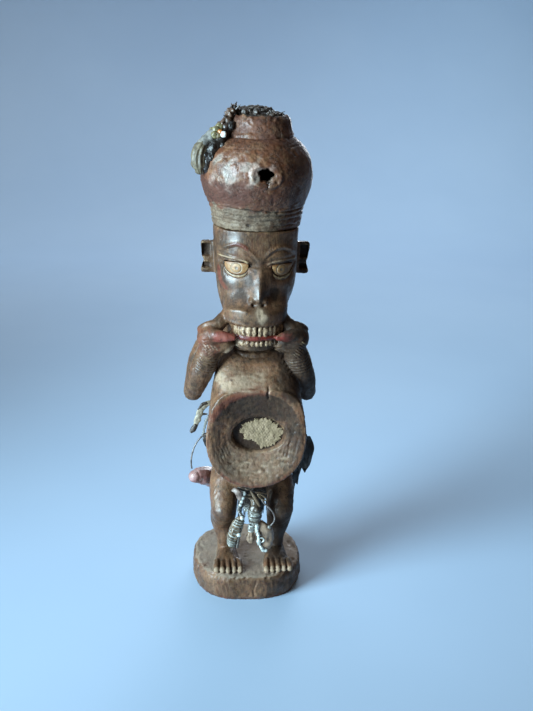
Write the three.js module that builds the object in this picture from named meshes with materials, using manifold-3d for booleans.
// A standing power figure, about half a metre tall, in millimetres, +Z up, facing -Y.
// One block of wood holds the round base, bent legs, trunk, dished belly drum, arms and head.
// A hollow vessel sits on the head like a cap. Its mouth holds a crusted charge, and a roll of
// hide hangs down its side on a strip of pitch. Eye inlays, the pale bedding of a lost mirror,
// a waist wrap, strips of hide, a horn and a cluster of charms are separate small pieces.
// "Left" and "right" are as seen from the front, so left is -X.
import * as THREE from "three";
import { mergeVertices } from "three/addons/utils/BufferGeometryUtils.js";
import Module from "manifold-3d";

const wasm = await Module();
wasm.setup();

// Driving dimensions
const BASE_WIDTH = 118;
const BASE_DEPTH = 114;
const BASE_HEIGHT = 28;
const DISH_PLANE = -60;
const DISH_HALF_WIDTH = 49.8;
const DISH_CENTRE_X = 2;
const DISH_HALF_HEIGHT = 53.5;
const DISH_CENTRE_Z = 189.8;
const DISH_DEPTH = 15;
const DISH_LIP = 0.86;
const HEAD_TOP = 396;
const VESSEL_RADIUS = 53.4;
const VESSEL_SKIRT = 387;
const VESSEL_MOUTH = 494;
const VESSEL_LEAN = 0.8;
const LEG_SHIFT = 3;
const GAP = 0.35;

const v3 = (x, y, z) => new THREE.Vector3(x, y, z);
const signedPower = (value, power) => Math.sign(value) * Math.abs(value) ** power;
const mix = (a, b, t) => a + (b - a) * t;
const smooth = (t) => {
  const c = Math.min(1, Math.max(0, t));
  return c * c * (3 - 2 * c);
};

// A value from a list of rows at a place between 0 and 1, on a Catmull-Rom curve through the rows.
function reading(rows, key, place) {
  const at = place * (rows.length - 1);
  const i = Math.min(rows.length - 2, Math.floor(at));
  const t = at - i;
  const pick = (k) => rows[Math.min(rows.length - 1, Math.max(0, k))][key];
  const [a, b, c, d] = [pick(i - 1), pick(i), pick(i + 1), pick(i + 2)];
  return b + 0.5 * t * (c - a + t * (2 * a - 5 * b + 4 * c - d + t * (3 * (b - c) + d - a)));
}

// A closed surface over rings of equal count, each end closed by a fan to the ring's middle.
function skin(rings) {
  const sides = rings[0].length;
  const points = rings.flat();
  const middle = (ring) => ring.reduce((sum, p) => sum.add(p), v3(0, 0, 0)).divideScalar(sides);
  const first = points.push(middle(rings[0])) - 1;
  const last = points.push(middle(rings.at(-1))) - 1;
  const index = [];
  for (let i = 0; i < rings.length - 1; i++) {
    for (let j = 0; j < sides; j++) {
      const k = (j + 1) % sides;
      const [a, b] = [i * sides + j, i * sides + k];
      index.push(a, b, b + sides, a, b + sides, a + sides);
    }
  }
  const top = (rings.length - 1) * sides;
  for (let j = 0; j < sides; j++) {
    const k = (j + 1) % sides;
    index.push(first, k, j, last, top + j, top + k);
  }
  return new THREE.BufferGeometry().setFromPoints(points).setIndex(index);
}

// A ring in the plane of two unit vectors: a superellipse of half sizes a and b.
function ring(centre, across, up, a, b, power, sides) {
  return Array.from({ length: sides }, (_, j) => {
    const angle = (2 * Math.PI * j) / sides;
    const p = typeof power === "function" ? power(angle) : power;
    const x = a * signedPower(Math.cos(angle), 2 / p);
    const y = b * signedPower(Math.sin(angle), 2 / p);
    return centre.clone().addScaledVector(across, x).addScaledVector(up, y);
  });
}

// An upright body: rows give z, front and back (y), half width and sometimes a sideways shift.
function upright(rows, { sides = 24, steps = 12, power = 2.2, grow = 0 } = {}) {
  const rings = [];
  const leans = rows[0].shift !== undefined;
  for (let i = 0; i <= steps; i++) {
    const place = i / steps;
    const front = reading(rows, "front", place) - grow;
    const back = reading(rows, "back", place) + grow;
    const half = reading(rows, "half", place) + grow;
    const z = reading(rows, "z", place);
    const centre = v3(leans ? reading(rows, "shift", place) : 0, (front + back) / 2, z);
    rings.push(ring(centre, v3(1, 0, 0), v3(0, 1, 0), half, (back - front) / 2, power, sides));
  }
  return skin(rings);
}

// A round limb along points with a radius at each, domed at both ends.
function limb(points, radii, { sides = 8, steps = 5, flat = 1, dome = 1, grow = 0 } = {}) {
  const curve = new THREE.CatmullRomCurve3(points.map((p) => v3(...p)), false, "centripetal");
  const frames = curve.computeFrenetFrames(steps, false);
  const rows = radii.map((radius) => ({ radius }));
  const rings = [];
  const addRing = (i, along, scale) => {
    const radius = (reading(rows, "radius", i / steps) + grow) * scale;
    const centre = curve.getPoint(i / steps).addScaledVector(frames.tangents[i], along);
    rings.push(ring(centre, frames.normals[i], frames.binormals[i], radius, radius * flat, 2, sides));
  };
  for (let k = dome; k > 0; k--) {
    const angle = (k / (dome + 1)) * (Math.PI / 2);
    addRing(0, -(radii[0] + grow) * Math.sin(angle), Math.cos(angle));
  }
  for (let i = 0; i <= steps; i++) addRing(i, 0, 1);
  for (let k = 1; k <= dome; k++) {
    const angle = (k / (dome + 1)) * (Math.PI / 2);
    addRing(steps, (radii.at(-1) + grow) * Math.sin(angle), Math.cos(angle));
  }
  return skin(rings);
}

// A ball stretched to three half sizes.
function lump(centre, halfSizes, turn = [0, 0, 0], [across, down] = [8, 5]) {
  return new THREE.SphereGeometry(1, across, down)
    .scale(...halfSizes)
    .applyMatrix4(new THREE.Matrix4().makeRotationFromEuler(new THREE.Euler(...turn)))
    .translate(...centre);
}

function block(centre, size, turn = [0, 0, 0]) {
  return new THREE.BoxGeometry(...size)
    .applyMatrix4(new THREE.Matrix4().makeRotationFromEuler(new THREE.Euler(...turn)))
    .translate(...centre);
}

// A closed three.js geometry as a solid that can be joined and cut, and back again.
function solid(geometry) {
  const bare = new THREE.BufferGeometry();
  bare.setAttribute("position", geometry.getAttribute("position"));
  if (geometry.index) bare.setIndex(geometry.index);
  const merged = mergeVertices(bare, 1e-3);
  const vertProperties = new Float32Array(merged.attributes.position.array);
  const triVerts = new Uint32Array(merged.index.array);
  return new wasm.Manifold(new wasm.Mesh({ numProp: 3, vertProperties, triVerts }));
}

function geometryOf(joined) {
  const { numProp, numVert, vertProperties, triVerts } = joined.getMesh();
  const position = new Float32Array(numVert * 3);
  for (let i = 0; i < numVert; i++) {
    position.set(vertProperties.subarray(i * numProp, i * numProp + 3), i * 3);
  }
  const geometry = new THREE.BufferGeometry();
  geometry.setAttribute("position", new THREE.BufferAttribute(position, 3));
  geometry.setIndex(new THREE.BufferAttribute(triVerts, 1));
  return geometry;
}

const joinAll = (geometries) => geometries.map(solid).reduce((sum, next) => sum.add(next));
const mirrored = (make) => [make(-1), make(1)];

// The base: a thick rounded slab, worn round at its edges and cut a little flat in front.
const BASE_FRONT_CUT = 1.5;
const BASE_SQUARENESS = 2.35;
function base() {
  const edge = [
    [0, 0.955], [2, 0.985], [7, 1], [BASE_HEIGHT - 6, 0.995], [BASE_HEIGHT - 2, 0.97], [BASE_HEIGHT, 0.93],
  ];
  const front = BASE_FRONT_CUT - BASE_DEPTH / 2;
  const rings = edge.map(([z, scale]) => {
    const [a, b] = [BASE_WIDTH / 2, BASE_DEPTH / 2];
    const outline = ring(v3(0, 0, z), v3(1, 0, 0), v3(0, 1, 0), a, b, BASE_SQUARENESS, 24);
    return outline.map((p) => v3(p.x * scale, Math.max(p.y, front) * scale, z));
  });
  return skin(rings);
}

// A foot: a wedge from the heel to the toes, with five long toes along its front edge.
const FOOT_APART = 26.6;
const TOE_PITCH = 5.9;
function foot(side) {
  const x = side * FOOT_APART + LEG_SHIFT + 1.3;
  const sole = BASE_HEIGHT - 1;
  const rows = [
    { y: 11, half: 6, height: 9 }, { y: 2, half: 10, height: 14 }, { y: -16, half: 12, height: 14 },
    { y: -29, half: 14.5, height: 10 }, { y: -38, half: 15, height: 7 },
  ];
  const rings = rows.map(({ y, half, height }) => {
    const centre = v3(x, y, sole);
    return ring(centre, v3(1, 0, 0), v3(0, 0, 1), half, height, 2.2, 8).map((p) => {
      return v3(p.x, p.y, Math.max(p.z, sole - 2));
    });
  });
  const toes = [-2, -1, 0, 1, 2].map((place) => {
    const reach = -44.6 + (place * side > 0 ? 0.7 * Math.abs(place) : 0);
    const [root, tip] = [x + place * TOE_PITCH, x + place * (TOE_PITCH + 0.3)];
    const toe = [[root, -28, sole + 6.4], [tip, reach, sole + 3.4]];
    return limb(toe, [3.5, 3], { sides: 5, steps: 1 });
  });
  return [skin(rings), ...toes];
}

// A bent leg: hip, knee and ankle, with the calf swelling at the back.
function leg(side, grow = 0) {
  const at = (x, y, z) => [side * x + LEG_SHIFT, y, z];
  const knee = at(30, -21, 92);
  const form = { sides: 9, steps: 4, grow };
  const thigh = limb([at(24, 8, 124), at(30, -8, 108), knee], [19, 16.2, 13.8], form);
  const shin = limb([knee, at(30.5, -4, 69), at(27.5, -7, 38)], [13.8, 12.8, 8.2], form);
  return [thigh, shin];
}

const TRUNK = [
  { z: 96, front: -8, back: 30, half: 30, shift: 4 },
  { z: 112, front: -20, back: 36, half: 40, shift: 4 },
  { z: 130, front: -24, back: 36, half: 40, shift: 3 },
  { z: 160, front: -24, back: 31, half: 36, shift: 1.5 },
  { z: 200, front: -24, back: 30, half: 34, shift: 1 },
  { z: 240, front: -24, back: 31, half: 34, shift: 0 },
  { z: 268, front: -24, back: 30, half: 37, shift: -1 },
  { z: 282, front: -22, back: 28, half: 36, shift: -1 },
  { z: 294, front: -16, back: 24, half: 26, shift: -1 },
];
const trunk = (grow) => upright(TRUNK, { sides: 14, steps: 8, power: 2.3, grow });
const buttocks = (grow) => {
  const halfSizes = [17, 15, 17].map((half) => half + grow);
  return mirrored((side) => lump([side * 15 + 4, 27, 112], halfSizes));
};

// The belly drum: superellipse sections forward along -Y to a rim, then back in as a dish. Its
// top line climbs from the rim to the chest.
const DRUM = [
  { y: 8, half: 32, low: 158, high: 262 },
  { y: -8, half: 40, low: 146, high: 274 },
  { y: -24, half: 44.5, low: 140, high: 277 },
  { y: -38, half: 46.8, low: 137.5, high: 268 },
  { y: -49, half: 48.2, low: 136.6, high: 254 },
  { y: DISH_PLANE + 3, half: DISH_HALF_WIDTH, low: 136.3, high: 243.5 },
];
const RIM_ROUNDING = 1.5;
const rimPower = (angle) => mix(2.15, 2.75, smooth(Math.sin(angle)));

function drumRing(y, half, low, high, scale = 1, grow = 0) {
  const middle = (low + high) / 2;
  const halfHeight = ((high - low) / 2) * scale + grow;
  const centre = v3(DISH_CENTRE_X, y, middle);
  return ring(centre, v3(1, 0, 0), v3(0, 0, 1), half * scale + grow, halfHeight, rimPower, 22);
}

function drum(grow = 0) {
  const rings = [];
  for (let i = 0; i <= 5; i++) {
    const [y, half, low, high] = ["y", "half", "low", "high"].map((key) => reading(DRUM, key, i / 5));
    rings.push(drumRing(y, half, low, high, 1, grow));
  }
  const [low, high] = [DISH_CENTRE_Z - DISH_HALF_HEIGHT, DISH_CENTRE_Z + DISH_HALF_HEIGHT];
  const rimHalf = DISH_HALF_WIDTH - RIM_ROUNDING;
  rings.push(drumRing(DISH_PLANE, rimHalf, low + RIM_ROUNDING, high - RIM_ROUNDING, 1, grow));
  if (grow > 0) return skin(rings);
  for (let i = 0; i <= 4; i++) {
    const scale = DISH_LIP * (1 - i / 4.6);
    const sink = DISH_DEPTH * (1 - (scale / DISH_LIP) ** 2.1);
    rings.push(drumRing(DISH_PLANE + 0.6 + sink, DISH_HALF_WIDTH, low, high, scale));
  }
  return skin(rings);
}

// The oval recess that held a mirror, as a plug to cut away.
const RECESS = { x: 4.5, z: 191.6, half: 26.3, halfHeight: 18.6, floor: DISH_PLANE + DISH_DEPTH + 3 };
function recess(shrink, from, to) {
  const at = (y) => {
    const [a, b] = [RECESS.half - shrink, RECESS.halfHeight - shrink];
    return ring(v3(RECESS.x, y, RECESS.z), v3(1, 0, 0), v3(0, 0, 1), a, b, 2, 20);
  };
  return skin([at(from), at(to)]);
}

// Arms folded at the elbow, hands raised to the corners of the mouth.
const ARM_SHIFT = -2.5;
function arm(side) {
  const at = (x, y, z) => [side * x + ARM_SHIFT, y, z];
  const elbow = at(57.6, -19, 225.5);
  const upper = limb([at(36, 5, 277), at(50, -3, 254), elbow], [13, 12, 9.6], { steps: 4 });
  const fore = limb([elbow, at(53.4, -27, 241), at(47.6, -33, 258), at(41, -38, 277)], [9.2, 11.5, 12, 11.2]);
  const palm = lump(at(41, -37, 290), [14, 13.5, 13.5], [0, 0, 0], [8, 6]);
  const fingers = [0, 1, 2, 3].map((i) => {
    const z = 299.6 - i * 4.95;
    const path = [at(48.5 - i * 0.8, -44, z), at(29.5, -48.5, z + 1)];
    return limb(path, [2.4, 2.4], { sides: 5, steps: 1 });
  });
  return [upper, fore, palm, ...fingers];
}

const HEAD = [
  { z: 266, front: -22, back: 24, half: 22 },
  { z: 280, front: -38, back: 26, half: 25 },
  { z: 293, front: -43, back: 27, half: 28 },
  { z: 307, front: -44, back: 30, half: 30 },
  { z: 320, front: -43, back: 33, half: 34 },
  { z: 334, front: -42.5, back: 36, half: 37.6 },
  { z: 348, front: -42.5, back: 39, half: 39.6 },
  { z: 362, front: -42.5, back: 41, half: 40.3 },
  { z: 376, front: -42.5, back: 41, half: 40.5 },
  { z: VESSEL_SKIRT - 1, front: -41, back: 40.5, half: 39.8 },
];
const headBody = (grow = 0) => upright(HEAD, { sides: 20, steps: 9, power: 2.45, grow });

// The jaws and the bulging upper lip, from the chin up to the root of the nose.
const MUZZLE = [
  { z: 277, front: -46, back: -6, half: 19, shift: -0.6 },
  { z: 282, front: -51, back: -4, half: 23, shift: -0.6 },
  { z: 291, front: -51, back: -4, half: 24, shift: -0.6 },
  { z: 303, front: -52, back: -4, half: 27, shift: -0.8 },
  { z: 306, front: -57.5, back: -2, half: 30.6, shift: -1 },
  { z: 315, front: -58, back: -2, half: 31.4, shift: -1 },
  { z: 325, front: -51, back: -2, half: 31, shift: -0.5 },
  { z: 332, front: -42, back: -4, half: 29, shift: 0 },
];
const NOSE = [[-0.3, -41, 370], [-0.4, -47, 348], [-0.8, -55.5, 332]];
const BROW = [
  [33, -30.5, 368], [29, -35, 375.5], [20.5, -39.5, 379.6], [11.5, -42.5, 375.4], [3, -43.5, 367.5],
];
const LID = [[35, -29.5, 363.6], [22, -39, 366.6], [8, -43, 365.2]];
const CROWN_HALF = 38;

// The head: a tapering body, the jaws, a wedge nose, brows and lids, under a flat crown.
function head() {
  const crownAt = (z) => ({ z, front: -CROWN_HALF, back: CROWN_HALF, half: CROWN_HALF });
  const crown = upright([crownAt(VESSEL_SKIRT - 6), crownAt(HEAD_TOP)], { sides: 20, steps: 1, power: 2 });
  const muzzle = upright(MUZZLE, { sides: 14, steps: 7, power: 2.1 });
  const nose = limb(NOSE, [2.6, 4.6, 5.4], { steps: 4 });
  const nostrils = mirrored((side) => lump([side * 5.2, -50.5, 328.5], [3.4, 5.4, 3.8], [0, 0, 0], [7, 4]));
  const onSide = (line, side) => line.map(([x, y, z]) => [side * x, y, z]);
  const brows = mirrored((side) => limb(onSide(BROW, side), [1.4, 2.4, 2.8, 2.6, 2.2], { sides: 5 }));
  const lids = mirrored((side) => limb(onSide(LID, side), [1.2, 1.9, 1.3], { sides: 5, steps: 3 }));
  return [headBody(), crown, muzzle, nose, ...nostrils, ...brows, ...lids];
}

// The mouth: two arched rows of teeth, the red lip between them, and its drawn-out corners. The
// teeth stand on an arch that is an ellipse seen from above.
const MOUTH_ARCH = { half: 25.5, reach: 23, y: -29 };
const LIP_HEIGHT = 293;
const LIP_SPREAD = 1.25;
const TOOTH_WIDTH = 4.6;
function onArch(angle, out, z) {
  const { half, reach, y } = MOUTH_ARCH;
  return [(half + out) * Math.sin(angle), y - (reach + out) * Math.cos(angle), z];
}
function teeth(count, spread, low, high, out) {
  return Array.from({ length: count }, (_, i) => {
    const angle = mix(-spread, spread, i / (count - 1));
    return block(onArch(angle, out, (low + high) / 2), [TOOTH_WIDTH, 5, high - low], [0, 0, angle]);
  });
}
function mouth() {
  const lipLine = [-1, -0.5, 0, 0.5, 1].map((place) => onArch(LIP_SPREAD * place, 0.7, LIP_HEIGHT));
  const lip = limb(lipLine, [2.6, 2.4, 2.4, 2.4, 2.6], { sides: 5, steps: 6 });
  const corner = (x, turn) => lump([x, -50, LIP_HEIGHT + 0.5], [11, 4.6, 5.8], [0, 0, turn]);
  const upper = teeth(10, 1.1, 295.5, 306, 0.6);
  const lower = teeth(8, 0.85, 283, 290.4, -0.2);
  return [...upper, ...lower, lip, corner(-31, -0.3), corner(27.5, 0.3)];
}

// A square ear: a flat plate with a pinched waist, hollowed above and below.
const EAR = [[-6, -1], [13, -1], [13.8, 1.5], [11.4, 11], [13.2, 15], [14.2, 28], [13, 30.5], [-6, 30.5]];
function ear(side) {
  const shape = new THREE.Shape(EAR.map(([x, y]) => new THREE.Vector2(x, y)));
  const plate = new THREE.ExtrudeGeometry(shape, { depth: 7, bevelEnabled: false });
  plate.rotateX(Math.PI / 2).translate(39, 5, 344.8);
  const hollows = [block([47.3, -3.4, 366.2], [7, 5, 12]), block([47, -3.4, 351.8], [6.5, 4, 4])];
  const carved = hollows.map(solid).reduce((sum, next) => sum.subtract(next), solid(plate));
  return side < 0 ? carved.mirror([1, 0, 0]) : carved;
}

// An almond eye, flatter above than below, as a prism that points out of the face. It is turned
// sideways by the slant of the face there.
const EYE = { x: 21.8, shift: -0.3, y: -38.5, z: 363.4, half: 12.4, rise: 2.4, drop: 11.4, slant: 0.42 };
const EYE_BED = -4;
function eyePrism(side, grow) {
  const [half, rise, drop] = [EYE.half + grow, EYE.rise + grow, EYE.drop + grow];
  const shape = new THREE.Shape();
  shape.moveTo(-half, 0);
  shape.quadraticCurveTo(0, -2 * drop, half, 0);
  shape.quadraticCurveTo(0, 2 * rise, -half, 0);
  const prism = new THREE.ExtrudeGeometry(shape, { depth: 30, bevelEnabled: false, curveSegments: 6 });
  const slanted = prism.rotateX(Math.PI / 2).translate(0, 16, 0).rotateZ(side * EYE.slant);
  return solid(slanted.translate(side * EYE.x + EYE.shift, EYE.y, EYE.z));
}
const eyePocket = (side) => eyePrism(side, GAP).subtract(solid(headBody(EYE_BED - GAP)));
const eyeInlay = (side) => {
  const front = eyePrism(side, 0).intersect(solid(headBody(0.5)));
  return geometryOf(front.subtract(solid(headBody(EYE_BED))));
};

function carvedFigure() {
  const grown = [
    base(), ...mirrored(foot).flat(), ...mirrored((side) => leg(side)).flat(), trunk(0), ...buttocks(0),
    drum(), ...mirrored(arm).flat(), ...head(), ...mouth(),
  ];
  let figure = joinAll(grown).add(ear(-1)).add(ear(1));
  figure = figure.subtract(solid(recess(0, RECESS.floor, DISH_PLANE)));
  for (const side of [-1, 1]) figure = figure.subtract(eyePocket(side));
  return geometryOf(figure);
}

// The vessel: skirt, globe, shoulder and neck outside; a hollow of true wall thickness inside.
const VESSEL_OUTSIDE = [
  [41.4, VESSEL_SKIRT], [42.6, 391], [43.2, 402], [45, 412], [49.6, 423], [VESSEL_RADIUS, 436], [52.6, 449],
  [48.6, 459.5], [41, 469], [33.4, 476], [31, 482], [29, 490], [25.6, VESSEL_MOUTH],
];
const VESSEL_HOLLOW = [
  [21.4, VESSEL_MOUTH - 1], [21, 481], [30, 469], [42, 457], [46.8, 442], [44, 426], [34, 412], [0, 406],
];
const VESSEL_SEAT = HEAD_TOP + GAP;
const leanOf = (z) => (VESSEL_LEAN + 1) * smooth((z - 445) / 35) - smooth((z - 400) / 25);

function turned(profile, grow = 0, segments = 20) {
  const points = profile.map(([r, z]) => new THREE.Vector2(r > 0 ? r + grow : 0, z));
  const geometry = new THREE.LatheGeometry(points, segments).rotateX(Math.PI / 2);
  const position = geometry.getAttribute("position");
  for (let i = 0; i < position.count; i++) {
    position.setX(i, position.getX(i) + leanOf(position.getZ(i)));
  }
  return geometry;
}

const VESSEL_HOLE = { x: 4.2, z: 444.6, half: 7.8, halfHeight: 5.8 };
const SEAT_RADIUS = 39;
const COLLAR_WIDTH = 2.6;
function headVessel() {
  const seat = [[0, VESSEL_SEAT], [SEAT_RADIUS, VESSEL_SEAT], [SEAT_RADIUS, VESSEL_SKIRT]];
  const wall = solid(turned([...seat, ...VESSEL_OUTSIDE, ...VESSEL_HOLLOW]));
  const { x, z, half, halfHeight } = VESSEL_HOLE;
  const collar = new THREE.TorusGeometry(1, 0.27, 5, 14).rotateX(Math.PI / 2);
  collar.scale(half + COLLAR_WIDTH, 8, halfHeight + COLLAR_WIDTH).translate(x, -51.4, z);
  const hole = ring(v3(x, -40, z), v3(1, 0, 0), v3(0, 0, 1), half, halfHeight, 2, 14);
  const tunnel = skin([hole, hole.map((p) => p.clone().setY(-62))]);
  return geometryOf(wall.add(solid(collar)).subtract(solid(tunnel)));
}

// The outside of the vessel as a filled solid, to keep what lies on it clear of it.
const vesselKeepOut = () => solid(turned([[0, 380], [41.4, 380], ...VESSEL_OUTSIDE, [0, VESSEL_MOUTH]], GAP));

// The charge: a plug in the neck that heaps up over the mouth in a crust.
function vesselCharge() {
  const profile = [[0, 484], [20.4, 484], [20.8, 492.4], [21.2, 495], [23.5, 497.6], [15, 500.8], [0, 502.3]];
  const lumps = [[-13, -8, 5], [-8, 8, 6], [5, -11, 5], [12, 4, 5.4], [-1, 0, 6]];
  const heap = lumps.map(([x, y, r]) => lump([x + VESSEL_LEAN, y, 499], [r, r, r * 0.76], [0, 0, x], [6, 4]));
  return geometryOf(joinAll([turned(profile, 0, 14), ...heap]));
}

// A lumpy roll of hide that hangs from the mouth of the vessel down its left side.
const CHARM_ROLL_PATH = [
  [-24.5, -9, 499.5], [-30, -13, 491.5], [-35.5, -15, 483.4], [-43.5, -17, 475],
  [-52, -19, 466], [-56, -21, 457], [-53, -22, 447],
];
const rollAlong = (grow) => solid(limb(CHARM_ROLL_PATH, [3, 3.4, 5, 5.2, 6.6, 7.6, 5.8], { steps: 8, grow }));
const charmRoll = () => geometryOf(rollAlong(0).subtract(vesselKeepOut()));

// A strip of dark pitch that beds the roll on the vessel.
function pitchBed() {
  const path = [[-28, -16, 484], [-34, -18, 476], [-41, -21, 466], [-46, -23, 456], [-48, -24, 447]];
  const strip = solid(limb(path, [4, 6, 7, 6.6, 5], { sides: 7, steps: 4 }));
  return geometryOf(strip.subtract(vesselKeepOut()).subtract(rollAlong(GAP)));
}

// The pale bedding left in the mirror's recess: a thin patch with a ragged edge and a piece out
// of its lower left.
const BEDDING = { half: 22, halfHeight: 16, thickness: 1.6, shift: 2.4, biteAngle: 4.05 };
function mirrorBedding() {
  const { half, halfHeight, thickness, biteAngle } = BEDDING;
  const count = 20;
  const outline = Array.from({ length: count }, (_, i) => {
    const angle = (2 * Math.PI * i) / count;
    const ragged = 1 + 0.05 * Math.sin(5 * angle + 1) + 0.04 * Math.sin(11 * angle);
    const bite = 1 - 0.42 * Math.exp(-(((angle - biteAngle) / 0.42) ** 2));
    const size = ragged * bite;
    return new THREE.Vector2(half * size * Math.cos(angle), halfHeight * size * Math.sin(angle));
  });
  const bare = { depth: thickness, bevelEnabled: false };
  const patch = new THREE.ExtrudeGeometry(new THREE.Shape(outline), bare);
  return patch.rotateX(Math.PI / 2);
}

// A band that wraps the trunk behind the belly drum, cut clear of both.
function waistWrap() {
  const rows = [148, 152, 162, 172, 176].map((z, i) => {
    const out = [2.2, 4.6, 5.2, 4.4, 2][i];
    return { z, front: -28 - out, back: 32 + out, half: 36.5 + out, shift: 1.5 };
  });
  const band = solid(upright(rows, { sides: 14, steps: 4, power: 2.2 }));
  const pieces = band.subtract(solid(trunk(GAP))).subtract(solid(drum(GAP))).decompose();
  return geometryOf(pieces.sort((a, b) => b.volume() - a.volume())[0]);
}

// A ragged flat piece of hide: an outline with a thickness, stood upright.
function hidePiece(outline, thickness) {
  const shape = new THREE.Shape(outline.map(([x, z]) => new THREE.Vector2(x, z)));
  return new THREE.ExtrudeGeometry(shape, { depth: thickness, bevelEnabled: false }).rotateX(Math.PI / 2);
}

// A round cord of one thickness along points, with flat ends.
function cord(points, radius, steps) {
  const curve = new THREE.CatmullRomCurve3(points.map((p) => v3(...p)), false, "centripetal");
  const section = new THREE.Shape().absarc(0, 0, radius, 0, 2 * Math.PI);
  return new THREE.ExtrudeGeometry(section, { steps, curveSegments: 4, extrudePath: curve });
}

// The horn at the left hip, its broad end cut clear of the hip that it lies against.
function hipHorn() {
  const path = [[-58, 18, 109], [-51.5, 23, 108], [-40, 33, 101], [-27, 41, 94]];
  let horn = solid(limb(path, [4.4, 7.6, 11.4, 11.6]));
  for (const near of [trunk(GAP), ...buttocks(GAP), ...leg(-1, GAP)]) horn = horn.subtract(solid(near));
  return geometryOf(horn);
}

// The knot of fibre below the drum that the charms hang from, cut clear of the hips.
function fibreTangle() {
  const strands = [
    [[-15, -38, 121], [-7, -38, 127], [1, -33, 124]], [[15, -40, 116], [8, -38, 124], [0, -34, 126]],
    [[-9, -41, 118], [0, -40, 122], [10, -41, 119]],
  ];
  const ropes = strands.map((path) => limb(path, [1.6, 2.4, 2.4], { sides: 5, steps: 3 }));
  const knot = joinAll([lump([0, -31, 124], [9, 10, 8]), ...ropes]);
  return geometryOf(knot.subtract(solid(trunk(GAP))).subtract(solid(drum(GAP))));
}

const woodBrown = { color: 0x4a3a2a, roughness: 0.45 };
const hide = { color: 0x8c7a5a, roughness: 0.85 };
const darkHide = { color: 0x1e1a17, roughness: 0.8 };
const resin = { color: 0x3a3630, roughness: 0.25 };
const twine = { color: 0x6e5c42, roughness: 0.9 };
const figureGroup = new THREE.Group();

function addPiece(name, geometry, look, position = [0, 0, 0]) {
  const material = new THREE.MeshStandardMaterial({ metalness: 0, ...look });
  const mesh = new THREE.Mesh(geometry, material);
  mesh.name = name;
  mesh.position.set(...position);
  figureGroup.add(mesh);
}

addPiece("carved_figure", carvedFigure(), woodBrown);
addPiece("eye_inlay_left", eyeInlay(-1), { color: 0xc9ab74, roughness: 0.3 });
addPiece("eye_inlay_right", eyeInlay(1), { color: 0xc9ab74, roughness: 0.3 });
addPiece("head_vessel", headVessel(), { color: 0x7d5a4a, roughness: 0.4 });
addPiece("vessel_charge", vesselCharge(), { color: 0x2a241f, roughness: 0.9 });
addPiece("charm_roll", charmRoll(), hide);
addPiece("pitch_bed", pitchBed(), darkHide);
const beddingPlace = [RECESS.x + BEDDING.shift, RECESS.floor - GAP, RECESS.z];
addPiece("mirror_bedding", mirrorBedding(), { color: 0xb5ae92, roughness: 0.9 }, beddingPlace);

// Hide at the two sides, behind the drum, and the horn.
addPiece("waist_wrap", waistWrap(), darkHide);
const FLAP_RIGHT = [
  [-6, 0], [6, -1], [13, -4], [16.5, -10], [17, -24], [14.5, -36], [10, -44],
  [6, -40], [3, -46], [2.5, -58], [-1.5, -68], [-2.2, -58], [-1.8, -40], [-7, -16],
];
addPiece("hide_flap_right", hidePiece(FLAP_RIGHT, 6), darkHide, [51.5, 6, 167]);
const TAB_LEFT = [[0, 0], [-7, -1], [-8.5, -8], [-6, -14], [0, -12]];
addPiece("hide_tab_left", hidePiece(TAB_LEFT, 4), darkHide, [-40.7, 8, 166.5]);
const STRIP_LEFT = [[-35, -2, 203], [-46, -5, 206], [-53, -6, 198.5], [-56, -6, 187], [-59.4, -6, 177]];
function hideStrip() {
  const strip = solid(limb(STRIP_LEFT, [2.2, 3, 3, 2.8, 2.2], { sides: 6, flat: 0.5 }));
  return geometryOf(strip.subtract(solid(trunk(GAP))).subtract(solid(drum(GAP))));
}
addPiece("hide_strip_left", hideStrip(), hide);
const CORD_RADIUS = 0.9;
const THONG_LEFT = [
  [-41.3, 0, 169.6], [-43.4, -0.5, 169.8], [-45.6, -1.1, 169.5], [-47.9, -1.9, 168.8],
  [-50.1, -2.7, 167.7], [-52.2, -3.4, 166.1], [-54.2, -4, 164], [-56, -4.5, 161.5],
  [-57.6, -5, 158.6], [-59, -5.4, 155.4], [-60.1, -5.8, 152], [-61, -6.1, 148.4],
  [-61.6, -6.4, 144.8], [-61.9, -6.6, 141.1], [-61.8, -6.7, 136.5], [-61.2, -6.8, 131.8],
];
addPiece("thong_left", cord(THONG_LEFT, CORD_RADIUS, 12), twine);
addPiece("hip_horn", hipHorn(), { color: 0x8e3b30, roughness: 0.35 });

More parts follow.
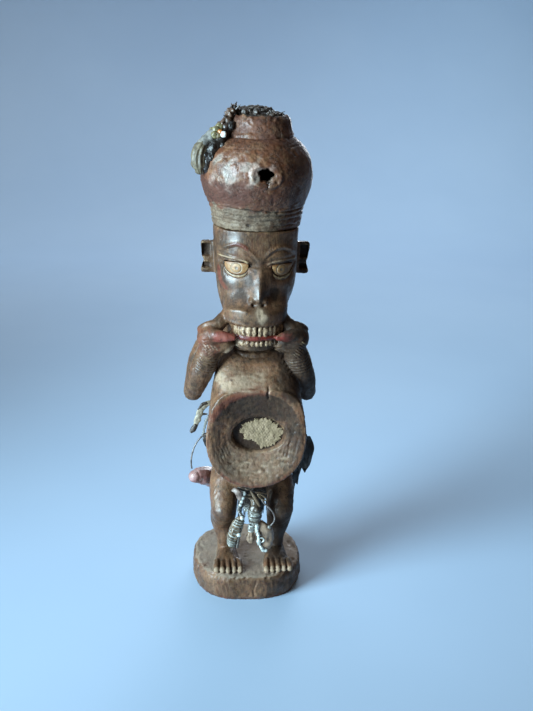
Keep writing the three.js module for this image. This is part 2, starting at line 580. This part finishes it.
// The charms that hang below the drum, between the knees.
addPiece("fibre_tangle", fibreTangle(), twine);
const CHAIN_LEFT = [[-8.5, -42, 115.8], [-9.5, -43.5, 106], [-9, -43, 98]];
addPiece("chain_left", cord(CHAIN_LEFT, 1.6, 5), darkHide);
const POUCH_LEFT = [[-9, -42, 93], [-13, -40.5, 84], [-17, -39.5, 68], [-19, -39, 57]];
addPiece("pouch_left", limb(POUCH_LEFT, [4.5, 7, 6.4, 4.2]), resin);
const BUNDLE_MIDDLE = [[4.4, -41, 110], [4.4, -43, 99], [4.6, -42.5, 90.5]];
addPiece("bundle_middle", limb(BUNDLE_MIDDLE, [4.2, 7.2, 5.9]), resin);
addPiece("bead_middle", lump([1, -42, 80.1], [3.6, 3.6, 3.6]), { color: 0x777a78, roughness: 0.4 });
const SACK_MIDDLE = [[0.4, -41.5, 72.4], [0, -41, 66]];
addPiece("sack_middle", limb(SACK_MIDDLE, [3.8, 4.4], { steps: 2 }), resin);
const POUCH_RIGHT = [[14, -42, 81], [13.8, -41, 70], [15.5, -40, 58]];
const pouchTan = { color: 0x8a7452, roughness: 0.7 };
addPiece("pouch_right", limb(POUCH_RIGHT, [5, 8.4, 5.4], { flat: 0.72 }), pouchTan);
const LOOP_RIGHT = [
  [10.2, -42.2, 115.2], [11.2, -42.9, 113], [12.6, -43.4, 110.9], [14.3, -43.8, 109],
  [16.2, -44.1, 107.2], [18.2, -44.4, 105.4], [20.1, -44.6, 103.4], [21.8, -44.7, 101.1],
  [23.2, -44.8, 98.5], [24.2, -44.8, 95.7], [24.7, -44.8, 92.8], [24.4, -44.8, 90],
  [23.5, -44.7, 87.6], [22.2, -44.5, 85.6], [20.8, -44.2, 83.9], [19.6, -43.8, 82.6],
];
addPiece("cord_loop", cord(LOOP_RIGHT, CORD_RADIUS, 12), twine);
const LEAF = [[-17, -44, 123], [-14.5, -45, 117], [-12, -44.5, 110]];
addPiece("leaf_flap", limb(LEAF, [1.6, 3.4, 1.6], { sides: 6, steps: 3, flat: 0.45 }), hide);

export default figureGroup;
